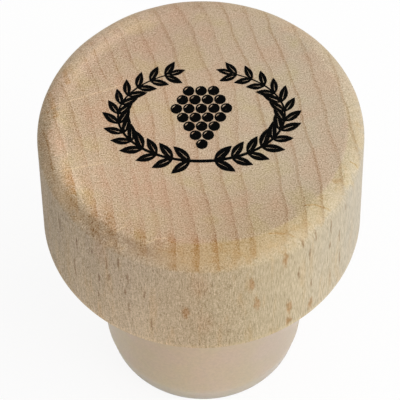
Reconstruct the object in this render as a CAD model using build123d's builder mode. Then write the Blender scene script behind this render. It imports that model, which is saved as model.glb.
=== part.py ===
from build123d import *

import os
from math import atan2, degrees

# A bottle stopper: a turned wooden head glued on a moulded shank of soft
# synthetic cork. Millimetres, +Z up along the turning axis, with the origin
# at the centre of the shank's flat foot, so that the stopper stands upright.

# Head, turned from one blank of beech with the grain along the axis
head_diameter = 31.0
head_height = 15.0
crown_width = 2.2        # how far the rounded top edge comes in over the top
crown_height = 1.2       # how far it comes down the side
crown_side_radius = 0.7  # its tighter part, where it meets the side
rim_chamfer = 0.3        # broken edge round the underside

# Shank, the part that goes into the bottle
shank_diameter = 19.8
shank_length = 20.9      # from the foot to the shoulder in the head's seat
shoulder_chamfer = 0.5
lead_length = 2.6        # slight cone that starts the shank in the bottle
lead_drop = 0.55         # how much smaller the radius is at the cone's end
foot_round = 0.9

# Gate recess that the mould leaves in the middle of the foot
gate_diameter = 4.0
gate_depth = 0.5

# Tenon moulded on the shank
tenon_diameter = 13.0
tenon_length = 6.0
tenon_chamfer = 0.8
groove_count = 3         # V-shaped rings that hold the glue
groove_width = 0.8
groove_depth = 0.4

# Shallow seat and bore in the head, which take the shoulder and the tenon
seat_depth = 0.4
seat_gap = 0.1           # radial, round the shank
glue_gap = 0.1           # radial, round the tenon
glue_pocket = 0.6        # between the tenon's end and the bottom of the bore
mouth_relief = 0.5       # chamfer that keeps squeezed glue off the shoulder

head_radius = head_diameter / 2
shank_radius = shank_diameter / 2
seat_radius = shank_radius + seat_gap
tenon_radius = tenon_diameter / 2
bore_radius = tenon_radius + glue_gap
bore_depth = seat_depth + tenon_length + glue_pocket
underside_z = shank_length - seat_depth
head_top = underside_z + head_height
tenon_top = shank_length + tenon_length

# The crown is two tangent arcs: a small one off the side and a large one that
# runs out level with the top. The large one's radius follows from the tangency.
crown_run = crown_width - crown_side_radius
crown_rise = crown_height - crown_side_radius
crown_top_radius = (crown_run**2 + crown_height**2 - crown_side_radius**2) / (2 * crown_rise)
crown_turn = degrees(atan2(crown_top_radius - crown_height, crown_run))


# The head is one turned profile, seated and bored from below
with BuildPart() as head:
    with BuildSketch(Plane.XZ):
        with BuildLine():
            side_arc = CenterArc(
                (head_radius - crown_side_radius, head_top - crown_height),
                crown_side_radius,
                0,
                crown_turn,
            )
            top_arc = TangentArc(
                side_arc @ 1,
                (head_radius - crown_width, head_top),
                tangent=side_arc % 1,
            )
            Polyline(
                top_arc @ 1,
                (0, head_top),
                (0, underside_z),
                (head_radius, underside_z),
                side_arc @ 0,
            )
        make_face()
    revolve(axis=Axis.Z)

    underside = head.faces().sort_by(Axis.Z)[0]
    chamfer(underside.outer_wire().edges(), rim_chamfer)

    with Locations(Plane((0, 0, underside_z), z_dir=(0, 0, -1))):
        CounterBoreHole(bore_radius, seat_radius, seat_depth, bore_depth)
    seat_floor = head.faces().filter_by(GeomType.PLANE).sort_by(Axis.Z)[1]
    chamfer(seat_floor.inner_wires()[0].edges(), mouth_relief)


# The shank, its shoulder and its tenon are moulded in one
with BuildPart() as shank:
    with BuildSketch(Plane.XZ):
        with BuildLine():
            Polyline(
                (0, 0),
                (shank_radius - lead_drop, 0),
                (shank_radius, lead_length),
                (shank_radius, shank_length),
                (tenon_radius, shank_length),
                (tenon_radius, tenon_top),
                (0, tenon_top),
                close=True,
            )
        make_face()
    revolve(axis=Axis.Z)

    rings = shank.edges().filter_by(GeomType.CIRCLE)
    foot_edge = rings.group_by(Axis.Z)[0]
    shoulder_edge = rings.group_by(SortBy.RADIUS)[-1].sort_by(Axis.Z)[-1]
    tenon_edge = rings.group_by(Axis.Z)[-1]
    fillet(foot_edge, foot_round)
    chamfer(shoulder_edge, shoulder_chamfer)
    chamfer(tenon_edge, tenon_chamfer)

    # Glue grooves, evenly spaced between the shoulder and the tenon's chamfer
    groove_pitch = (tenon_length - tenon_chamfer) / (groove_count + 1)
    groove_heights = [shank_length + groove_pitch * (i + 1) for i in range(groove_count)]
    with BuildSketch(Plane.XZ):
        for height in groove_heights:
            with BuildLine():
                Polyline(
                    (tenon_radius, height - groove_width / 2),
                    (tenon_radius, height + groove_width / 2),
                    (tenon_radius - groove_depth, height),
                    close=True,
                )
            make_face()
    revolve(axis=Axis.Z, mode=Mode.SUBTRACT)

    # Gate recess
    with Locations(Plane.XY.reverse()):
        Hole(gate_diameter / 2, gate_depth)


head.part.label = "head"
shank.part.label = "shank"

os.makedirs("parts", exist_ok=True)
export_step(head.part, "parts/head.step")
export_step(shank.part, "parts/shank.step")
print("head", round(head.part.volume), "mm3, shank", round(shank.part.volume), "mm3")
print("overall height", head_top, "mm")
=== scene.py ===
import math
import random
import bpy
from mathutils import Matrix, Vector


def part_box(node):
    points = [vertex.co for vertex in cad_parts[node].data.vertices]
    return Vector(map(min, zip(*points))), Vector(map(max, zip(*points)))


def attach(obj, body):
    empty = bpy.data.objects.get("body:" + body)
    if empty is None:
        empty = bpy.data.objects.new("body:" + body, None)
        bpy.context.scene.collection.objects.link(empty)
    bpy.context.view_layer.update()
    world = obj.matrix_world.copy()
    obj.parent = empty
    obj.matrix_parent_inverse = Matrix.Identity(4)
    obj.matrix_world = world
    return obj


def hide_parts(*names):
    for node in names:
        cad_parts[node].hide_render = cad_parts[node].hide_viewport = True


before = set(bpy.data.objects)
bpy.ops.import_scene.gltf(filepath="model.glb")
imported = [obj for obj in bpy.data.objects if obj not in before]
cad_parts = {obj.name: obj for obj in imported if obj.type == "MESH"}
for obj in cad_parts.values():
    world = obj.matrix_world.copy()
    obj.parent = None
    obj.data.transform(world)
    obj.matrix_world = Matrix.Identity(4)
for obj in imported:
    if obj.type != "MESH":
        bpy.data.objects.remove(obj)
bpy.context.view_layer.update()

from types import SimpleNamespace

import bpy
from mathutils import Matrix, Vector, noise
from mathutils.geometry import delaunay_2d_cdt

# Lengths below are in millimetres unless a name says otherwise. The scene
# itself is in metres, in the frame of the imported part.
MM = 0.001

head_low, head_high = (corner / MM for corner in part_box("head"))
shank_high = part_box("shank")[1] / MM
head_radius = head_high.x
head_top = head_high.z
underside = head_low.z
shank_radius = shank_high.x
tenon_top = shank_high.z

# Sizes of the turned head that its box doesn't give
rim_round = 0.3
bore_radius = 6.6
bore_depth = 6.6
bore_chamfer = 0.5

# Sizes of the seat under the head
seat_depth = 0.4
seat_radius = 10.0

# Sizes of the moulded shank that its box doesn't give
gate_radius = 2.0
gate_depth = 0.5
foot_round = 0.9
lead_length = 2.6
lead_drop = 0.55
shoulder_chamfer = 0.5
tenon_radius = 6.5
tenon_chamfer = 0.8
groove_count = 3
groove_width = 0.8
groove_depth = 0.4

# The printed film stands this far proud of the wood and goes this far in
film_proud = 0.02
film_sunk = 0.015
wood_top = head_top - film_proud
seat = underside + seat_depth

# Growth rings: the pith lies well outside the blank. The first ring's inner
# edge is this far from it, and the widths are those of the years that follow.
pith = Vector((-93.7, -20.7, 0))
first_ring = 77.6
ring_widths = (
    1.8, 2.1, 1.5, 1.7, 1.55, 1.65, 1.1, 1.4, 1.55, 2.0, 2.2,
    2.3, 1.85, 1.9, 1.85, 1.8, 2.2, 2.0, 2.1, 2.1,
)

# How strong a streak each of those years leaves on the front of the crown
streak_strengths = (
    0.5, 0.5, 1.0, 0.8, 0.85, 0.1, 1.0, 0.1, 1.0, 1.0, 1.0,
    0.35, 0.9, 0.5, 0.5, 0.5, 0.5, 0.5, 0.5, 0.5,
)
ring_total = sum(ring_widths)

# Divisions of the meshes round the axis and along their long runs
head_columns = 420
shank_columns = 256
top_steps = 20
crown_steps = 18
wall_steps = 36
shank_steps = 30


def mesh_object(name, vertices, faces):
    """A mesh as an object in the scene."""
    mesh = bpy.data.meshes.new(name)
    mesh.from_pydata(vertices, [], faces)
    mesh.validate()
    piece = bpy.data.objects.new(name, mesh)
    bpy.context.scene.collection.objects.link(piece)
    return piece


# Turned meshes

def turned(name, rows, columns):
    """A closed turned solid. rows(azimuth) gives (radius, height) pairs from the axis back to the axis."""
    azimuths = [math.tau * i / columns for i in range(columns)]
    lines = [rows(azimuth) for azimuth in azimuths]
    count = len(lines[0])
    vertices = [(0, 0, lines[0][0][1] * MM)]
    for j in range(1, count - 1):
        for azimuth, line in zip(azimuths, lines):
            radius, height = line[j]
            vertices.append((radius * math.cos(azimuth) * MM, radius * math.sin(azimuth) * MM, height * MM))
    vertices.append((0, 0, lines[0][-1][1] * MM))
    last = len(vertices) - 1
    faces = []
    for i in range(columns):
        k = (i + 1) % columns
        faces.append((0, 1 + i, 1 + k))
        for j in range(count - 3):
            a, b = 1 + j * columns, 1 + (j + 1) * columns
            faces.append((a + i, b + i, b + k, a + k))
        a = 1 + (count - 3) * columns
        faces.append((a + i, last, a + k))
    piece = mesh_object(name, vertices, faces)
    piece.data.shade_smooth()
    return piece


def run_to(rows, end, steps=1):
    """Adds a straight run in equal steps to a section's (radius, height) pairs."""
    start = rows[-1]
    for i in range(1, steps + 1):
        rows.append(tuple(a + (b - a) * i / steps for a, b in zip(start, end)))


# How far the rounded edge comes in over the top, and how far it comes down the
# wall, at eight places round the head. The first is on the right, then
# anticlockwise: it was sanded by hand, and is widest in front.
crown_widths = (1.75, 1.7, 1.8, 1.9, 1.7, 2.2, 2.65, 2.2)
crown_heights = (1.3, 1.1, 1.2, 1.25, 1.25, 1.2, 1.4, 2.2)
crown_slope = math.radians(14)
least_bend = 0.25        # least height left for the bend into the wall
edge_lead = 0.12         # the top's last level ring lies this far inside the crisp edge
edge_dip = 0.004         # and the edge itself this far below it


def round_the_head(azimuth, sizes):
    """A size that eases round the head between evenly spaced values."""
    place = (azimuth % math.tau) / math.tau * len(sizes)
    near = min(int(place), len(sizes) - 1)
    ease = (1 - math.cos((place - near) * math.pi)) / 2
    return sizes[near] + (sizes[(near + 1) % len(sizes)] - sizes[near]) * ease


def uneven(azimuth, size, pace, offset):
    """A small irregularity that closes on itself round the head."""
    here = Vector((math.cos(azimuth), math.sin(azimuth), 0))
    return size * noise.noise(here * pace + Vector(offset))


def crown_rows(azimuth):
    """The crown starts at a crisp edge with a slight slope and bends down into the wall."""
    width = round_the_head(azimuth, crown_widths) + uneven(azimuth, size=0.2, pace=5.0, offset=(3, 1, 4))
    height = round_the_head(azimuth, crown_heights) + uneven(azimuth, size=0.15, pace=4.0, offset=(9, 2, 6))
    start = Vector((head_radius - width, wood_top))
    corner = Vector((head_radius, wood_top - width * math.tan(crown_slope)))
    end = Vector((head_radius, min(wood_top - height, corner.y - least_bend)))
    rows = [(start.x - edge_lead, wood_top), (start.x, wood_top - edge_dip)]
    for i in range(1, crown_steps + 1):
        t = i / crown_steps
        spot = start * (1 - t) ** 2 + corner * 2 * t * (1 - t) + end * t**2
        rows.append((spot.x, spot.y))
    return rows


def head_rows(azimuth):
    """The head's section from the middle of its top, over the crown and the wall to the bore's end."""
    crown = crown_rows(azimuth)
    rim_steps = 5
    rim = [
        (head_radius - rim_round * (1 - math.cos(a)), underside + rim_round * (1 - math.sin(a)))
        for a in (math.pi / 2 * i / rim_steps for i in range(1, rim_steps + 1))
    ]
    bore_end = seat + bore_depth
    rows = [(0, wood_top)]
    run_to(rows, crown[0], top_steps)
    rows += crown[1:]
    run_to(rows, (head_radius, underside + rim_round), wall_steps)
    rows += rim
    run_to(rows, (seat_radius, underside), 8)
    run_to(rows, (seat_radius, seat))
    run_to(rows, (bore_radius + bore_chamfer, seat), 4)
    run_to(rows, (bore_radius, seat + bore_chamfer))
    run_to(rows, (bore_radius, bore_end), 5)
    run_to(rows, (0, bore_end), 5)
    return rows


def shank_rows(_):
    """The shank's section, the same all round, from the tenon's end down to the gate recess in the foot."""
    groove_pitch = (tenon_top - seat - tenon_chamfer) / (groove_count + 1)
    foot_angle = math.atan2(lead_length, lead_drop)
    rows = [(0, tenon_top)]
    run_to(rows, (tenon_radius - tenon_chamfer, tenon_top), 3)
    run_to(rows, (tenon_radius, tenon_top - tenon_chamfer))
    for i in reversed(range(groove_count)):
        height = seat + groove_pitch * (i + 1)
        rows.append((tenon_radius, height + groove_width / 2))
        rows.append((tenon_radius - groove_depth, height))
        rows.append((tenon_radius, height - groove_width / 2))
    run_to(rows, (tenon_radius, seat))
    run_to(rows, (shank_radius - shoulder_chamfer, seat), 4)
    run_to(rows, (shank_radius, seat - shoulder_chamfer), 2)
    run_to(rows, (shank_radius, lead_length), shank_steps)
    # The foot's rounding is tangent to the lead-in cone and to the foot
    reach = foot_round / math.tan((math.pi - foot_angle) / 2)
    centre = (shank_radius - lead_drop - reach, foot_round)
    first = math.pi / 2 - foot_angle
    arc_steps = 8
    arc = [
        (centre[0] + foot_round * math.cos(-a), centre[1] + foot_round * math.sin(-a))
        for a in (first + (math.pi / 2 - first) * i / arc_steps for i in range(arc_steps + 1))
    ]
    run_to(rows, arc[0], 8)
    rows += arc[1:]
    run_to(rows, (gate_radius, 0), 8)
    run_to(rows, (gate_radius, gate_depth), 2)
    run_to(rows, (0, gate_depth), 3)
    return rows


# Printed ornament, in millimetres from the middle of the head's top

# Where a branch's parts lie on their oval, in degrees above its right or left end
stem_start, stem_end = -97, 66
first_leaves, last_leaves, tip_leaf = -82, 64, 67

# Its leaves, which vary in length and in how far they stand off, in degrees
leaf_pairs = 13
leaf_length = 2.35
leaf_shortening = 0.55   # from the first pair to the tip
leaf_slimness = 0.4      # width as a share of the length
leaf_variation = (0.93, 1.05)
leaf_angles = (36, 44)

# The bunch's rows from its top, and its sizes as shares of one another
berry_rows = (3, 4, 5, 4, 3, 2, 1)
berry_pitch = 2.12       # of a berry's radius
row_pitch = 0.86         # of the berries' pitch
glint_radius = 0.74      # of a berry's radius


def leaf(base, angle, length, width):
    """A pointed leaf's outline and the slit of its midrib."""
    steps = 12
    rib_low, rib_swell, rib_high, rib_half = 0.16, 0.26, 0.78, 0.035
    along = Vector((math.cos(angle), math.sin(angle)))
    across = Vector((-along.y, along.x))
    upper = []
    lower = []
    for i in range(1, steps):
        t = i / steps
        # Fullest a little before its middle
        half = width / 2 * math.sin(math.pi * t) ** 0.9 * (1.15 - 0.3 * t)
        spot = base + along * length * t
        upper.append(spot + across * half)
        lower.append(spot - across * half)
    outline = [base] + lower + [base + along * length] + upper[::-1]
    rib = [
        base + along * length * rib_low,
        base + along * length * rib_swell - across * rib_half,
        base + along * length * rib_high,
        base + along * length * rib_swell + across * rib_half,
    ]
    return outline, rib


def disc(centre, radius, steps=20):
    """A circle's points."""
    return [
        centre + Vector((math.cos(a), math.sin(a))) * radius
        for a in (math.tau * i / steps for i in range(steps))
    ]


def crescent(centre, radius, steps=8):
    """The highlight left bare near a berry's upper left edge."""
    start, sweep, thickness = 95, 80, 0.26
    outer = [math.radians(start + sweep * i / steps) for i in range(steps + 1)]
    points = [centre + Vector((math.cos(a), math.sin(a))) * radius for a in outer]
    for a in outer[-2:0:-1]:
        bow = math.sin(math.pi * (a - outer[0]) / (outer[-1] - outer[0]))
        points.append(centre + Vector((math.cos(a), math.sin(a))) * radius * (1 - thickness * bow))
    return points


def ribbon(line, start_width, end_width):
    """A tapering stroke along a line of points."""
    left, right = [], []
    for i, spot in enumerate(line):
        before, after = line[max(i - 1, 0)], line[min(i + 1, len(line) - 1)]
        across = (after - before).normalized().orthogonal()
        half = (start_width + (end_width - start_width) * i / (len(line) - 1)) / 2
        left.append(spot + across * half)
        right.append(spot - across * half)
    return right + left[::-1]


def heading(start, end):
    """The direction from one point to another, in radians."""
    return math.atan2(end.y - start.y, end.x - start.x)


def branch(spot, rng):
    """A branch along spot(degrees): a tapering stem, pairs of ever smaller leaves and one at the tip."""
    stem_steps = 40
    sweep = stem_end - stem_start
    stem = [spot(stem_start + sweep * i / stem_steps) for i in range(stem_steps + 1)]
    inked, bare = [ribbon(stem, start_width=0.34, end_width=0.12)], []
    for i in range(leaf_pairs):
        degrees = first_leaves + (last_leaves - first_leaves) * i / (leaf_pairs - 1)
        here, ahead = spot(degrees), spot(degrees + 3)
        length = (leaf_length - leaf_shortening * i / leaf_pairs) * rng.uniform(*leaf_variation)
        for turn in (-1, 1):
            angle = heading(here, ahead) + turn * math.radians(rng.uniform(*leaf_angles))
            outline, rib = leaf(here, angle, length, length * leaf_slimness)
            inked.append(outline)
            bare.append(rib)
    tip = spot(tip_leaf)
    outline, rib = leaf(tip, heading(stem[-3], tip), length=1.7, width=0.65)
    return inked + [outline], bare + [rib]


def wreath(centre, half_width, half_height, rng):
    """Two leafy branches that meet at the foot and stay open at the top."""
    inked, bare = [], []
    for side in (-1, 1):
        def spot(degrees):
            a = math.radians(degrees)
            return centre + Vector((side * half_width * math.cos(a), half_height * math.sin(a)))
        leaves, ribs = branch(spot, rng)
        inked += leaves
        bare += ribs
    return inked, bare


def grapes(centre, radius):
    """A hanging bunch: rows of berries, set close, with a highlight in each."""
    inked, bare = [], []
    across = radius * berry_pitch
    down = across * row_pitch
    for j, count in enumerate(berry_rows):
        y = centre.y + (len(berry_rows) / 2 - j - 0.5) * down
        for i in range(count):
            x = centre.x + (i - (count - 1) / 2) * across
            middle = Vector((x, y))
            inked.append(disc(middle, radius))
            bare.append(crescent(middle, radius * glint_radius))
    return inked, bare


def film(name, inked, bare, rng):
    """A thin closed film that covers the inked outlines, less the bare ones, as one mesh."""
    ragged = 0.012
    inside_only = 1
    tolerance = 1e-5
    points = []
    faces = []
    for outline in inked + bare:
        first = len(points)
        points += [p + Vector((rng.uniform(-1, 1), rng.uniform(-1, 1))) * ragged for p in outline]
        faces.append(list(range(first, len(points))))
    spots, _, triangles, _, _, sources = delaunay_2d_cdt(points, [], faces, inside_only, tolerance)
    kept = [
        triangle for triangle, source in zip(triangles, sources)
        if any(s < len(inked) for s in source) and not any(s >= len(inked) for s in source)
    ]
    # An edge that no triangle has the other way round lies on the film's outline
    edges = dict.fromkeys((triangle[i], triangle[(i + 1) % 3]) for triangle in kept for i in range(3))
    low, high = (wood_top - film_sunk) * MM, head_top * MM
    count = len(spots)
    vertices = [(p.x * MM, p.y * MM, high) for p in spots] + [(p.x * MM, p.y * MM, low) for p in spots]
    shell = [tuple(t) for t in kept] + [tuple(v + count for v in reversed(t)) for t in kept]
    shell += [(b, a, a + count, b + count) for a, b in edges if (b, a) not in edges]
    return mesh_object(name, vertices, shell)


# Materials

class Graph:
    """Short calls for building a material's nodes."""

    def __init__(self, name):
        self.material = bpy.data.materials.new(name)
        self.material.use_nodes = True
        self.tree = self.material.node_tree
        self.shader = self.tree.nodes["Principled BSDF"]

    def plug(self, socket, value):
        """Links an output to a socket, or sets a plain value on it."""
        if isinstance(value, bpy.types.NodeSocket):
            self.tree.links.new(value, socket)
        else:
            socket.default_value = value

    def math(self, operation, first, second=0.0, third=0.0):
        """A sum or function of values."""
        node = self.tree.nodes.new("ShaderNodeMath")
        node.operation = operation
        for socket, value in zip(node.inputs, (first, second, third)):
            self.plug(socket, value)
        return node.outputs[0]

    def product(self, *factors):
        """The product of two or more values."""
        total = factors[0]
        for factor in factors[1:]:
            total = self.math("MULTIPLY", total, factor)
        return total

    def vector(self, operation, first, second=(0, 0, 0)):
        """A function of vectors."""
        node = self.tree.nodes.new("ShaderNodeVectorMath")
        node.operation = operation
        self.plug(node.inputs[0], first)
        self.plug(node.inputs[1], second)
        return node.outputs["Value" if operation in ("LENGTH", "DISTANCE", "DOT_PRODUCT") else "Vector"]

    def split(self, vector):
        """A vector's x, y and z."""
        node = self.tree.nodes.new("ShaderNodeSeparateXYZ")
        self.plug(node.inputs[0], vector)
        return node.outputs

    def join(self, x, y, z):
        """A vector from its x, y and z."""
        node = self.tree.nodes.new("ShaderNodeCombineXYZ")
        for socket, value in zip(node.inputs, (x, y, z)):
            self.plug(socket, value)
        return node.outputs[0]

    def noise(self, vector, scale, detail=2.0, roughness=0.5):
        """Soft noise from 0 to 1, mostly near 0.5."""
        node = self.tree.nodes.new("ShaderNodeTexNoise")
        self.plug(node.inputs["Vector"], vector)
        node.inputs["Scale"].default_value = scale
        node.inputs["Detail"].default_value = detail
        node.inputs["Roughness"].default_value = roughness
        return node.outputs["Fac"]

    def cells(self, vector, scale):
        """The distance from the nearest of some scattered points, and that point's own random colour."""
        node = self.tree.nodes.new("ShaderNodeTexVoronoi")
        self.plug(node.inputs["Vector"], vector)
        node.inputs["Scale"].default_value = scale
        return node.outputs["Distance"], node.outputs["Color"]

    def span(self, value, low, high, to_low=0.0, to_high=1.0, smooth=True):
        """Goes from to_low to to_high as value goes from low to high, and stays level past both."""
        node = self.tree.nodes.new("ShaderNodeMapRange")
        node.interpolation_type = "SMOOTHSTEP" if smooth else "LINEAR"
        self.plug(node.inputs["Value"], value)
        node.inputs["From Min"].default_value = low
        node.inputs["From Max"].default_value = high
        node.inputs["To Min"].default_value = to_low
        node.inputs["To Max"].default_value = to_high
        return node.outputs["Result"]

    def blend(self, share, first, second):
        """A value that goes from first to second as share goes from 0 to 1."""
        node = self.tree.nodes.new("ShaderNodeMix")
        self.plug(node.inputs[0], share)
        self.plug(node.inputs[2], first)
        self.plug(node.inputs[3], second)
        return node.outputs[0]

    def steps(self, value, levels):
        """A level for each equal step of a value that goes from 0 to 1."""
        node = self.tree.nodes.new("ShaderNodeValToRGB")
        node.color_ramp.interpolation = "CONSTANT"
        stops = node.color_ramp.elements
        while len(stops) < len(levels):
            stops.new(1.0)
        for i, (stop, level) in enumerate(zip(stops, levels)):
            stop.position = i / len(levels)
            stop.color = (level, level, level, 1)
        self.plug(node.inputs["Fac"], value)
        return node.outputs["Color"]

    def ramp(self, x, tones):
        """A colour that follows x across the head through the given tones."""
        node = self.tree.nodes.new("ShaderNodeValToRGB")
        stops = node.color_ramp.elements
        while len(stops) < len(tones):
            stops.new(1.0)
        for stop, (at, tone) in zip(stops, tones):
            stop.position = (at + head_radius) / (2 * head_radius)
            stop.color = srgb(*tone)
        self.plug(node.inputs["Fac"], self.span(x, -head_radius, head_radius, smooth=False))
        return node.outputs["Color"]

    def mix(self, share, first, second, blend="MIX"):
        """A colour that goes from first to second, or to the two combined, as share goes from 0 to 1."""
        node = self.tree.nodes.new("ShaderNodeMix")
        node.data_type = "RGBA"
        node.blend_type = blend
        self.plug(node.inputs[0], share)
        self.plug(node.inputs[6], first)
        self.plug(node.inputs[7], second)
        return node.outputs[2]

    def bump(self, height, strength, distance):
        """Gives the surface a fine relief."""
        node = self.tree.nodes.new("ShaderNodeBump")
        node.inputs["Strength"].default_value = strength
        node.inputs["Distance"].default_value = distance * MM
        self.plug(node.inputs["Height"], height)
        self.plug(self.shader.inputs["Normal"], node.outputs["Normal"])

    def millimetres(self):
        """The place on the piece, in millimetres."""
        node = self.tree.nodes.new("ShaderNodeTexCoord")
        scaled = self.tree.nodes.new("ShaderNodeVectorMath")
        scaled.operation = "SCALE"
        self.plug(scaled.inputs[0], node.outputs["Object"])
        scaled.inputs["Scale"].default_value = 1 / MM
        return scaled.outputs[0]


def srgb(red, green, blue):
    """A colour given on the 0 to 255 display scale, as the shader wants it."""
    def linear(value):
        value /= 255
        return value / 12.92 if value <= 0.04045 else ((value + 0.055) / 1.055) ** 2.4
    return (linear(red), linear(green), linear(blue), 1.0)


# Beech

# Tones of the wall from left to right across the head, at their x. The darker tones at both ends are
# painted shade, where the light falls off at the wall's edges.
wall_tones_with_painted_shade = (
    (-15, (167, 145, 113)),
    (-13, (187, 164, 132)),
    (-9.5, (202, 177, 145)),
    (-6, (206, 181, 149)),
    (-1, (195, 169, 134)),
    (4, (191, 171, 136)),
    (9, (191, 174, 142)),
    (15, (176, 165, 144)),
)
back_wall_tone = (196, 175, 143)

# Tones of the crown, likewise, partly its own warmer colour and partly painted shade that darkens its left;
# and the tones of the top at its left and right
crown_tones_with_painted_shade = (
    (-15, (154, 131, 99)),
    (-13, (178, 153, 119)),
    (-10, (150, 128, 99)),
    (-7, (166, 140, 110)),
    (-5, (172, 145, 112)),
    (-2, (186, 156, 113)),
    (3, (185, 156, 108)),
    (7, (191, 168, 126)),
    (13, (190, 174, 140)),
)
top_left_tone = (204, 175, 144)
top_right_tone = (195, 176, 149)

# What each feature of the wood, and each painted highlight, sheen or shade on it, multiplies red, green and
# blue by
tints = SimpleNamespace(
    pink_patch=(1.02, 0.94, 0.92),
    yellow_patch=(0.99, 1.01, 0.89),
    late_wood=(0.96, 0.9, 0.88),
    ring_line=(0.8, 0.73, 0.64),
    top_back=(0.89, 0.87, 0.89),
    top_front=(0.89, 0.84, 0.77),
    top_front_left=(1.13, 1.17, 1.18),
    cool_band=(0.95, 0.94, 0.97),
    warm_band=(1.02, 0.96, 0.88),
    wall_low_left=(1.12, 1.12, 1.11),
    wall_high_left=(0.95, 0.95, 0.95),
    painted_lower_rim_highlight=(1.14, 1.14, 1.12),
    blush=(0.97, 0.9, 0.86),
    dash=(0.64, 0.54, 0.44),
    fleck=(0.8, 0.62, 0.44),
    orange_mottle=(0.98, 0.91, 0.78),
    pale_mottle=(1.04, 1.05, 1.1),
    crown_left_front_shade=(0.93, 0.92, 0.92),
    streak=(0.83, 0.7, 0.5),
    edge_line=(0.74, 0.64, 0.46),
    edge_patch=(0.86, 0.75, 0.6),
    painted_left_edge_sheen=(1.11, 1.14, 1.16),
    torn_fibre_highlight=(1.32, 1.38, 1.46),
    painted_back_edge_highlight=(1.27, 1.28, 1.33),
    scratch=(0.88, 0.76, 0.56),
    pale_line=(1.18, 1.2, 1.18),
    vessel=(0.8, 0.77, 0.74),
)

# Wood rays on the end grain: their length, width and tint
rays = (
    (14, 0.42, (1.07, 1.08, 1.1)),
    (6, 0.25, (1.05, 1.05, 1.06)),
)

# How strongly the fine grain shows in red, green and blue, and how much of it
# comes from the grit and from the fibres
grain_colour = (1.16, 1.0, 0.81)
grit_strength = 0.13
fibre_strength = 0.09

# Marks in the wall's grain: compass place in degrees, height of the middle, length
dark_dashes = (
    (-150.0, 30.8, 3.6),
    (-141.5, 26.4, 5.0),
    (-139.5, 31.3, 3.6),
    (-132.0, 32.2, 1.6),
    (-129.3, 28.0, 3.6),
    (-129.8, 24.9, 2.4),
    (-125.5, 31.5, 2.6),
    (-124.7, 29.5, 1.9),
    (-120.3, 33.0, 3.2),
    (-118.3, 28.3, 1.6),
    (-117.0, 30.8, 2.8),
    (-117.0, 25.4, 2.8),
    (-111.0, 29.0, 2.8),
    (-108.7, 24.0, 3.2),
    (-54.5, 29.3, 2.6),
    (-52.8, 34.0, 2.2),
    (-49.6, 31.5, 3.0),
    (-48.6, 26.0, 2.8),
    (-46.8, 33.6, 2.6),
    (-39.3, 29.8, 2.2),
    (-38.8, 32.8, 3.2),
    (-38.3, 24.0, 4.2),
    (-33.2, 29.3, 3.2),
    (-32.3, 25.4, 3.6),
    (-29.5, 33.0, 2.4),
)
warm_flecks = (
    (-96.0, 27.0, 3.2),
    (-73.0, 31.0, 3.2),
    (-71.0, 27.2, 3.2),
    (-60.0, 33.0, 3.2),
    (-58.3, 24.3, 3.4),
    (-58.3, 21.9, 2.0),
    (-48.8, 22.2, 3.0),
)
dash_width = 0.34
fleck_width = 0.95

# Soft pinkish spots on the wall: compass place and height, and how much taller
# than wide they are
blushes = ((-91.0, 31.8), (-89.5, 25.2), (-128.0, 33.2))
blush_stretch = 2.2

# Brown lines and patches along the edge, scratches in the crown and pale lines
# in the top, as seen from above
edge_lines = (
    ((-15.1, 0.7), (-14.4, -1.6), (-13.95, -4.4), (-13.7, -6.4)),
)
edge_patches = (
    ((-14.45, 4.5), (-14.1, 3.2), (-13.7, 1.6)),
    ((-13.0, 6.9), (-12.6, 5.4)),
    ((12.5, -6.25), (12.9, -6.15)),
)
crown_scratches = (
    ((9.6, -9.05), (10.3, -8.9), (11.2, -8.95), (12.2, -9.15)),
    ((6.2, -12.0), (7.3, -11.9), (8.3, -12.0), (9.15, -12.2)),
    ((14.05, -4.0), (14.55, -4.2), (14.9, -4.6)),
)
pale_lines = (
    ((-14.9, 2.1), (-11.9, 3.4), (-7.4, 5.0)),
    ((-13.2, -4.75), (-9.2, -3.9)),
    ((-8.2, -11.6), (-7.1, -11.0)),
    ((-5.5, -12.9), (-4.3, -12.5), (-3.4, -12.4)),
)


def head_zones(g):
    """Where a point is on the turned head, as values that the wood's parts share."""
    zone = SimpleNamespace(place=g.millimetres())
    zone.x, zone.y, zone.z = g.split(zone.place)
    zone.slow = g.vector("MULTIPLY", zone.place, (1, 1, 0.35))
    zone.left = g.span(zone.x, -3, -11)
    zone.front = g.span(zone.y, 5, -2)
    zone.radius = g.vector("LENGTH", g.join(zone.x, zone.y, 0.0))
    zone.round = g.product(g.math("ARCTAN2", zone.y, zone.x), head_radius)
    zone.below = g.math("SUBTRACT", wood_top, zone.z)
    zone.top = g.span(zone.below, 0.6, 0.1)

    # The crown's colour starts crisply, later on the left, and ends raggedly on
    # the wall. At the back little of it shows.
    lift = g.math("ADD", zone.below, g.span(zone.x, -2, -7, -0.4, -0.1))
    ragged = g.math("MULTIPLY_ADD", g.noise(zone.place, 1.1, 3.0, 0.6), 2.0, lift)
    start_right = g.span(zone.below, 0.004, 0.09)
    start_left = g.span(zone.below, 0.08, 0.32)
    start = g.blend(g.span(zone.x, -1, -6), start_right, start_left)
    shown = g.math("MULTIPLY_ADD", zone.front, 0.85, 0.15)
    zone.crown = g.product(start, g.span(ragged, 2.0, 1.0), shown)
    zone.side = g.span(ragged, 0.6, 1.9)
    return zone


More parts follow.
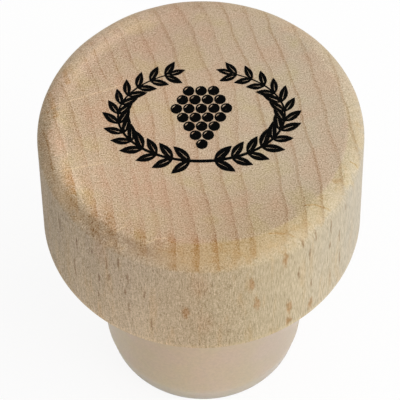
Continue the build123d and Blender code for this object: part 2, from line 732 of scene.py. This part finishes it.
def tree_axes(g, zone):
    """A point's distance from the pith and its way round it, with the waviness of real rings."""
    wander = g.math("SUBTRACT", g.noise(zone.slow, 0.22, 1.0), 0.5)
    waver = g.math("SUBTRACT", g.noise(zone.slow, 1.1, 1.0), 0.5)
    out_x, out_y, _ = g.split(g.vector("SUBTRACT", zone.place, tuple(pith)))
    distance = g.vector("LENGTH", g.join(out_x, out_y, 0.0))

    # In front the middle rings turn to the left, and back a little at the edge
    bend = g.product(g.span(distance, 88, 97), g.span(distance, 102, 99), g.span(zone.y, 6, -6))
    dip = g.product(g.span(distance, 91.5, 93.5), g.span(distance, 100, 96), g.span(zone.y, -6, -13.5))
    from_pith = distance
    for shift, amount in ((dip, -0.85), (bend, 1.5), (wander, 0.9), (waver, 0.22)):
        from_pith = g.math("MULTIPLY_ADD", shift, amount, from_pith)
    return from_pith, g.product(g.math("ARCTAN2", out_y, out_x), pith.length)


def years_grown(g, from_pith):
    """The share of the listed years that a point lies past, as rings of unlike widths."""
    node = g.tree.nodes.new("ShaderNodeFloatCurve")
    curve = node.mapping.curves[0]
    grown = 0.0
    for i, width in enumerate(ring_widths[:-1]):
        grown += width
        curve.points.new(grown / ring_total, (i + 1) / len(ring_widths))
    for point in curve.points:
        point.handle_type = "VECTOR"
    node.mapping.update()
    through = g.math("DIVIDE", g.math("SUBTRACT", from_pith, first_ring), ring_total)
    g.plug(node.inputs["Value"], through)
    return node.outputs["Value"]


def growth_rings(g, from_pith):
    """How far a point is through its year, from 0 to 1, how strong that year's line is, and its streak."""
    grown = years_grown(g, from_pith)
    years = g.product(grown, len(ring_widths))
    year = g.math("FRACT", years)
    dice = g.tree.nodes.new("ShaderNodeTexWhiteNoise")
    dice.noise_dimensions = "1D"
    g.plug(dice.inputs["W"], g.math("FLOOR", years))
    strength = g.span(dice.outputs["Value"], 0, 1, 0.4, 1.0, smooth=False)

    # The streak lies just inside its line, and is wider in the inner rings
    widest = max(ring_widths)
    widths = g.steps(grown, [width / widest for width in ring_widths])
    to_line = g.product(g.math("SUBTRACT", 1.0, year), g.product(widths, widest))
    scaled = g.product(to_line, g.span(from_pith, 90, 93, 0.72, 1.0))
    streak = g.product(g.span(scaled, 1.1, 0.35), g.span(to_line, 0.0, 0.14))
    return year, strength, g.product(streak, g.steps(grown, streak_strengths))


def ring_line(g, year):
    """The thin dark line at the end of each year."""
    return g.product(g.span(year, 0.76, 0.93), g.span(year, 1.0, 0.94))


def spindles(g, coordinates, reach, share):
    """Long thin grains, one in a cell at most, in coordinates that are a cell long each way."""
    distance, colour = g.cells(coordinates, 1.0)
    chance = g.split(colour)[0]
    grain = g.span(distance, reach, reach * 0.45)
    return g.product(grain, g.span(chance, 1 - share, 1 - share * 0.4))


def wall_marks(g, zone, marks, width):
    """Upright dashes at chosen places on the wall, tapering at both ends."""
    wobble = g.math("MULTIPLY_ADD", g.noise(zone.slow, 1.6, 2.0), 0.4, -0.2)
    fray_space = g.vector("MULTIPLY", zone.place, (5, 5, 1.5))
    fray = g.math("MULTIPLY_ADD", g.noise(fray_space, 1.0, 2.0), 1.2, -0.6)
    spot = g.join(g.math("ADD", zone.round, wobble), zone.z, 0.0)
    total = 0.0
    for azimuth, height, length in marks:
        local = g.vector("SUBTRACT", spot, (math.radians(azimuth) * head_radius, height, 0))
        local = g.vector("MULTIPLY", local, (2 / width, 2 / length, 0))
        total = g.math("ADD", total, g.span(g.math("ADD", g.vector("LENGTH", local), fray), 1.0, 0.25))
    return g.product(total, zone.side)


def strokes(g, zone, lines, width):
    """Thin lines seen from above, through the points of each, that stop at the wall."""
    wobble = g.math("MULTIPLY_ADD", g.noise(zone.place, 1.2, 2.0), 0.24, -0.12)
    flat = g.join(g.math("ADD", zone.x, wobble), g.math("ADD", zone.y, wobble), 0.0)
    nearest = 100.0
    for line in lines:
        for start, end in zip(line, line[1:]):
            run = Vector((end[0] - start[0], end[1] - start[1], 0))
            local = g.vector("SUBTRACT", flat, (start[0], start[1], 0))
            along = g.vector("DOT_PRODUCT", local, tuple(run / run.length_squared))
            along = g.math("MINIMUM", g.math("MAXIMUM", along, 0.0), 1.0)
            foot = g.vector("MULTIPLY", g.join(along, along, along), tuple(run))
            nearest = g.math("MINIMUM", nearest, g.vector("DISTANCE", local, foot))
    return g.product(g.span(nearest, width / 2, width / 8), g.span(zone.side, 0.9, 0.2))


def tint(g, colour, amount, factor):
    """Multiplies a colour by a factor where amount is 1."""
    return g.mix(amount, colour, (*factor, 1), "MULTIPLY")


def end_grain(g, zone, year, strength, from_pith, round_pith):
    """The top: pinker towards the pith on the left, greyer on the right, with thin ring lines and rays."""
    colour = g.mix(g.span(zone.x, -11, 13), srgb(*top_left_tone), srgb(*top_right_tone))
    patch = g.noise(zone.slow, 0.3, 2.0)
    colour = tint(g, colour, g.span(patch, 0.45, 0.7), tints.pink_patch)
    colour = tint(g, colour, g.span(patch, 0.5, 0.3), tints.yellow_patch)
    late = g.product(g.span(year, 0.25, 0.85), g.math("MULTIPLY_ADD", zone.front, 0.45, 0.4))
    colour = tint(g, colour, g.product(late, g.span(zone.x, 2, 8, 1.0, 0.6)), tints.late_wood)
    faint = g.product(g.span(zone.x, 3, -6), g.span(zone.y, 2, -6))
    line = g.product(ring_line(g, year), g.math("MULTIPLY_ADD", faint, -0.8, 1.0), strength)
    colour = tint(g, colour, line, tints.ring_line)
    back = g.product(g.span(zone.y, 3, 10), g.span(zone.x, 4, -3, 0.4, 1.0))
    colour = tint(g, colour, back, tints.top_back)
    front = g.product(g.span(zone.y, -4, -11), g.span(zone.x, -7, 2, 0.3, 1.0))
    colour = tint(g, colour, front, tints.top_front)
    front_left = g.product(g.span(zone.y, 2, -7), g.span(zone.x, -7, -11))
    colour = tint(g, colour, front_left, tints.top_front_left)
    for length, width, factor in rays:
        ray_space = g.join(g.math("DIVIDE", from_pith, length), g.math("DIVIDE", round_pith, width), 0.0)
        colour = tint(g, colour, spindles(g, ray_space, reach=0.3, share=0.4), factor)
    return colour


def wall_ground(g, zone):
    """The wall's tone, darkened towards its left and right edges by painted shade, with upright bands that
    differ slightly and a few soft blushes.
    """
    drift = g.math("MULTIPLY_ADD", g.noise(zone.slow, 0.35, 2.0), 5.0, -2.5)
    # Painted shade: these tones darken the wall towards its left and right edges.
    colour = g.ramp(g.math("ADD", zone.x, drift), wall_tones_with_painted_shade)
    colour = g.mix(g.span(zone.y, 0, 12, 0.0, 0.5), colour, srgb(*back_wall_tone))
    bands = g.noise(g.vector("MULTIPLY", zone.place, (1, 1, 0.14)), 0.9, 3.0, 0.6)
    colour = tint(g, colour, g.product(zone.left, g.span(bands, 0.52, 0.35)), tints.cool_band)
    inner_left = g.product(g.span(zone.x, -1, -6), g.span(zone.y, -4, -8))
    colour = tint(g, colour, g.product(inner_left, g.span(zone.z, 29, 23)), tints.wall_low_left)
    colour = tint(g, colour, g.product(inner_left, g.span(zone.z, 30, 33)), tints.wall_high_left)
    flattened = g.join(zone.round, g.math("DIVIDE", zone.z, blush_stretch), 0.0)
    for azimuth, height in blushes:
        middle = (math.radians(azimuth) * head_radius, height / blush_stretch, 0)
        far = g.vector("DISTANCE", flattened, middle)
        colour = tint(g, colour, g.span(far, 1.3, 0.3), tints.blush)
    return tint(g, colour, g.span(bands, 0.52, 0.7), tints.warm_band)


def side_grain(g, zone):
    """The wall's marks on its ground: the listed ones in front, and scattered ones elsewhere."""
    colour = wall_ground(g, zone)
    dash_space = g.vector("MULTIPLY", zone.place, (2.2, 2.2, 0.2))
    dashes = g.product(spindles(g, dash_space, reach=0.2, share=0.9), g.span(zone.y, -5, 0, 0.2, 1.0))
    dashes = g.math("ADD", dashes, wall_marks(g, zone, dark_dashes, dash_width))
    colour = tint(g, colour, dashes, tints.dash)
    fleck_space = g.vector("MULTIPLY", zone.place, (0.7, 0.7, 0.26))
    flecks = g.product(spindles(g, fleck_space, reach=0.22, share=0.5), g.span(zone.y, -5, 0))
    flecks = g.math("ADD", flecks, wall_marks(g, zone, warm_flecks, fleck_width))
    return tint(g, colour, flecks, tints.fleck)


def crown_grain(g, zone):
    """The rounded edge is sanded across the grain: warmer, with orange and pale mottles, and darkened on
    its left by painted shade.
    """
    # Painted shade: these tones darken the crown towards its left.
    colour = g.ramp(zone.x, crown_tones_with_painted_shade)
    mottle = g.noise(zone.place, 0.9, 3.0, 0.6)
    colour = tint(g, colour, g.span(mottle, 0.48, 0.7), tints.orange_mottle)
    return tint(g, colour, g.span(mottle, 0.47, 0.3), tints.pale_mottle)


def crown_shades(g, zone, colour, year):
    """On the right the ring lines run on over the crown, and painted shade darkens its left front lower
    down.
    """
    onward = g.product(zone.crown, g.span(zone.x, 8, 11, 0.0, 0.9))
    colour = tint(g, colour, g.product(ring_line(g, year), onward), tints.ring_line)
    # Painted shade on the crown's left front, lower down where it bends into the wall.
    lower = g.product(g.span(zone.below, 0.12, 0.4), g.span(zone.below, 1.5, 0.8))
    left_front = g.product(g.span(zone.x, -3, -7), g.span(zone.x, -13, -9), g.span(zone.y, -2, -5))
    return tint(g, colour, g.product(lower, left_front), tints.crown_left_front_shade)


def crown_streaks(g, zone, colour, streak):
    """Towards the front edge the ring lines widen into warm streaks."""
    outer = g.product(
        g.span(zone.radius, 11.6, 13.4),
        g.span(zone.x, 6, 1),
        g.span(zone.y, -3, -6),
        g.span(zone.side, 1, 0),
    )
    reach = g.math("MAXIMUM", g.product(zone.crown, g.span(zone.x, 15, 8, 0.4, 1.0)), outer)
    reach = g.product(reach, g.span(zone.x, -13.6, -12.8))
    patchy = g.span(g.noise(zone.place, 0.7, 2.0), 0.35, 0.55, 0.7, 1.0)
    return tint(g, colour, g.product(streak, patchy, reach), tints.streak)


def edge_marks_and_painted_light(g, zone, colour):
    """Marks along the edge, a painted sheen along the left edge with torn fibres as painted highlights in
    it, and a painted highlight on the back left edge.
    """
    colour = tint(g, colour, strokes(g, zone, edge_lines, width=0.34), tints.edge_line)
    colour = tint(g, colour, strokes(g, zone, edge_patches, width=0.8), tints.edge_patch)
    # A painted sheen along the left edge of the top and crown.
    painted_left_edge_sheen = g.product(
        g.span(zone.radius, 12.3, 13.3),
        g.span(zone.radius, 14.6, 14.0),
        g.span(zone.y, 5, 1),
        g.span(zone.x, -9, -12),
    )
    colour = tint(g, colour, painted_left_edge_sheen, tints.painted_left_edge_sheen)
    # Torn fibres in that sheen, lightened further as painted highlights.
    torn_space = g.join(g.math("DIVIDE", zone.radius, 0.24), g.math("DIVIDE", zone.round, 1.1), 0.0)
    lit_torn_fibres = g.product(spindles(g, torn_space, reach=0.34, share=0.7), painted_left_edge_sheen)
    colour = tint(g, colour, lit_torn_fibres, tints.torn_fibre_highlight)
    # A painted highlight along the back left edge.
    painted_back_edge_highlight = g.product(
        g.span(zone.radius, 12.2, 13.4),
        g.span(zone.radius, 15.0, 14.2, 0.4, 1.0),
        g.span(zone.y, 3, 7),
        g.span(zone.x, 0, -9),
    )
    colour = tint(g, colour, painted_back_edge_highlight, tints.painted_back_edge_highlight)
    colour = tint(g, colour, strokes(g, zone, crown_scratches, width=0.24), tints.scratch)
    return tint(g, colour, strokes(g, zone, pale_lines, width=0.3), tints.pale_line)


def speckle(g, zone):
    """Fine grit all over and upright fibres, mostly on the wall, both as values round 0."""
    grit = g.noise(g.vector("MULTIPLY", zone.place, (7.6, 7.6, 4.2)), 1.0, 2.0, 0.8)
    fibre = g.noise(g.vector("MULTIPLY", zone.place, (8.5, 8.5, 1.0)), 1.0, 2.0, 0.6)

    # The grit is faintest on the right of the wall and strongest on the left
    wall_right = g.product(zone.side, g.span(zone.x, 1, 8))
    strength = g.product(
        g.math("MULTIPLY_ADD", wall_right, -0.8, 1.0),
        g.span(zone.top, 0.0, 1.0, 0.95, 1.38),
        g.span(zone.crown, 0.2, 0.9, 1.0, 0.72),
    )
    left = g.product(zone.left, g.blend(zone.side, 1.0, g.span(zone.y, 10, 0, 0.3, 1.0)))
    strength = g.product(strength, g.blend(left, g.span(zone.y, 12, -2, 0.9, 1.15), 1.5))
    grit = g.product(g.span(grit, 0.3, 0.7, -1.0, 1.0, smooth=False), strength)
    fibrous = g.span(zone.side, 0, 1, 0.5, 1.05)
    return grit, g.product(g.span(fibre, 0.3, 0.7, -1.0, 1.0, smooth=False), fibrous)


def beech():
    """Sanded beech with its grain upright: end grain on top, side grain round the wall."""
    g = Graph("beech")
    zone = head_zones(g)
    from_pith, round_pith = tree_axes(g, zone)
    year, strength, streak = growth_rings(g, from_pith)

    colour = end_grain(g, zone, year, strength, from_pith, round_pith)
    colour = g.mix(zone.side, colour, side_grain(g, zone))
    colour = g.mix(g.product(zone.crown, 0.8), colour, crown_grain(g, zone))
    colour = crown_shades(g, zone, colour, year)
    colour = crown_streaks(g, zone, colour, streak)
    colour = edge_marks_and_painted_light(g, zone, colour)

    # Vessels run up the grain: dots on the end grain, fine grooves on the wall
    vessel_space = g.vector("MULTIPLY", zone.place, (7.0, 7.0, 0.9))
    vessels = spindles(g, vessel_space, reach=0.42, share=0.55)
    colour = tint(g, colour, vessels, tints.vessel)
    # A painted highlight along the head's lower rim.
    lower_rim_highlight = g.span(zone.z, underside + 1.0, underside + 0.4)
    colour = tint(g, colour, lower_rim_highlight, tints.painted_lower_rim_highlight)

    grit, fibre = speckle(g, zone)
    grain = g.math("ADD", g.product(grit, grit_strength), g.product(fibre, fibre_strength))
    coloured_grain = g.vector("MULTIPLY", g.join(grain, grain, grain), grain_colour)
    g.plug(g.shader.inputs["Base Color"], g.mix(1.0, colour, coloured_grain, "ADD"))
    g.plug(g.shader.inputs["Roughness"], g.span(grit, -1.0, 1.0, 0.66, 0.52, smooth=False))
    g.bump(g.math("SUBTRACT", grain, g.product(vessels, 0.15)), strength=0.6, distance=0.1)
    return g.material


def synthetic_cork():
    """Soft moulded foam with a smooth skin, slightly cloudy, that lets light in."""
    yellower, pinker = srgb(211, 190, 157), srgb(213, 188, 163)
    right_painted_shade, foot_tint = (0.65, 0.67, 0.72), (1.07, 1.05, 1.03)
    light_reach = 11 * MM
    g = Graph("synthetic_cork")
    place = g.millimetres()
    cloud = g.noise(place, 0.35, 3.0)
    colour = g.mix(g.span(cloud, 0.3, 0.7), yellower, pinker)
    x, _, z = g.split(place)
    # Painted shade: the shank's right side is darker, to even out the key lamp's light there.
    colour = tint(g, colour, g.span(x, -2, 9.5), right_painted_shade)
    colour = tint(g, colour, g.span(z, 6, 0), foot_tint)
    fine = g.span(g.noise(place, 3.5, 3.0, 0.7), 0.3, 0.7, 0.93, 1.07, False)
    g.plug(g.shader.inputs["Base Color"], g.mix(1.0, colour, g.join(fine, fine, fine), "MULTIPLY"))
    g.shader.inputs["Roughness"].default_value = 0.45
    g.shader.inputs["Subsurface Weight"].default_value = 1.0
    g.shader.inputs["Subsurface Radius"].default_value = (1.0, 0.85, 0.7)
    g.shader.inputs["Subsurface Scale"].default_value = light_reach
    g.shader.inputs["Sheen Weight"].default_value = 0.2
    g.shader.inputs["Sheen Roughness"].default_value = 0.5
    g.bump(fine, strength=0.3, distance=0.03)
    return g.material


def ink():
    """Matt black print, thin enough to show the wood's pores as specks."""
    black, pore = srgb(6, 6, 6), srgb(46, 38, 31)
    g = Graph("ink")
    pores = g.noise(g.millimetres(), 5.5, 2.0, 0.7)
    g.plug(g.shader.inputs["Base Color"], g.mix(g.span(pores, 0.64, 0.74), black, pore))
    g.plug(g.shader.inputs["Roughness"], g.span(pores, 0.3, 0.7, 0.68, 0.85, False))
    g.bump(pores, strength=0.4, distance=0.02)
    g.shader.inputs["Specular IOR Level"].default_value = 0.02
    return g.material


def mirror_or_camera(tree):
    """1 where a surface is seen, directly, in a gloss or through glass, and 0 for its light on others."""
    path = tree.nodes.new("ShaderNodeLightPath")
    seen = path.outputs["Is Camera Ray"]
    for ray in ("Is Glossy Ray", "Is Transmission Ray"):
        join = tree.nodes.new("ShaderNodeMath")
        join.operation = "MAXIMUM"
        tree.links.new(seen, join.inputs[0])
        tree.links.new(path.outputs[ray], join.inputs[1])
        seen = join.outputs[0]
    return seen


def pale_floor():
    """A floor that looks white, with a light shadow, and throws back what light a pale one does."""
    pale_grey, glow_share = 0.62, 0.87
    material = bpy.data.materials.new("pale_floor")
    material.use_nodes = True
    tree = material.node_tree
    tree.nodes.remove(tree.nodes["Principled BSDF"])
    pale = tree.nodes.new("ShaderNodeBsdfDiffuse")
    pale.inputs["Color"].default_value = (pale_grey, pale_grey, pale_grey, 1)
    white = tree.nodes.new("ShaderNodeBsdfDiffuse")
    white.inputs["Color"].default_value = (1, 1, 1, 1)
    glow = tree.nodes.new("ShaderNodeEmission")
    shown = tree.nodes.new("ShaderNodeMixShader")
    shown.inputs["Fac"].default_value = glow_share
    tree.links.new(white.outputs[0], shown.inputs[1])
    tree.links.new(glow.outputs[0], shown.inputs[2])
    either = tree.nodes.new("ShaderNodeMixShader")
    tree.links.new(mirror_or_camera(tree), either.inputs["Fac"])
    tree.links.new(pale.outputs[0], either.inputs[1])
    tree.links.new(shown.outputs[0], either.inputs[2])
    tree.links.new(either.outputs[0], tree.nodes["Material Output"].inputs["Surface"])
    return material


# Stage, light and camera

def floor():
    """A square floor, in metres, a hair below the foot so that the two faces don't share a plane."""
    half, height = 3.0, -0.02 * MM
    corners = [(x, y, height) for x, y in ((-half, -half), (half, -half), (half, half), (-half, half))]
    piece = mesh_object("floor", corners, [(0, 1, 2, 3)])
    piece.data.materials.append(pale_floor())


def area_light(name, azimuth, elevation, distance, size, power):
    """A square soft box that faces the head. Its place is in degrees, and in metres from the head."""
    a, e = math.radians(azimuth), math.radians(elevation)
    target = Vector((0, 0, underside * MM))
    offset = Vector((math.cos(e) * math.cos(a), math.cos(e) * math.sin(a), math.sin(e))) * distance
    light = bpy.data.lights.new(name, "AREA")
    light.size = size
    light.energy = power
    lamp = bpy.data.objects.new(name, light)
    aim = (-offset).to_track_quat("-Z", "Y").to_matrix().to_4x4()
    lamp.matrix_world = Matrix.Translation(target + offset) @ aim
    bpy.context.scene.collection.objects.link(lamp)


def world_light(level):
    """Even light from all round, with a white background where it is seen past the object."""
    world = bpy.data.worlds.new("studio")
    world.use_nodes = True
    bpy.context.scene.world = world
    tree = world.node_tree
    background = tree.nodes["Background"]
    background.inputs["Color"].default_value = (1, 1, 1, 1)
    strength = tree.nodes.new("ShaderNodeMapRange")
    strength.inputs["To Min"].default_value = level
    strength.inputs["To Max"].default_value = 1.0
    tree.links.new(mirror_or_camera(tree), strength.inputs["Value"])
    tree.links.new(strength.outputs["Result"], background.inputs["Strength"])


def camera():
    """A long lens that looks down on the top from the front."""
    place = Vector((0, -0.183813, 0.302672))
    target = Vector((-0.00017, 0, 0.02292))
    roll = -0.01615
    data = bpy.data.cameras.new("camera")
    data.sensor_width = 36
    data.lens = 309.01
    aim = (target - place).to_track_quat("-Z", "Y").to_matrix().to_4x4()
    view = bpy.data.objects.new("camera", data)
    view.matrix_world = Matrix.Translation(place) @ aim @ Matrix.Rotation(roll, 4, "Z")
    bpy.context.scene.collection.objects.link(view)
    bpy.context.scene.camera = view


camera()
world_light(level=0.67)
area_light("key", azimuth=-13, elevation=21, distance=0.6, size=0.7, power=3.8)
floor()
bpy.context.scene.view_settings.view_transform = "Standard"

head = turned("turned_head", head_rows, head_columns)
head.data.materials.append(beech())
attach(head, "root")
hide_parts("head")

shank = turned("moulded_shank", shank_rows, shank_columns)
shank.data.materials.append(synthetic_cork())
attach(shank, "root")
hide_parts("shank")

print_seed = 11
rng = random.Random(print_seed)
middle = Vector((0.1, 1.3))
branches, ribs = wreath(middle, half_width=7.9, half_height=5.2, rng=rng)
berries, glints = grapes(middle + Vector((0, -0.2)), radius=0.56)
print_film = film("printed_wreath", branches + berries, ribs + glints, rng)
print_film.data.materials.append(ink())
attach(print_film, "root")
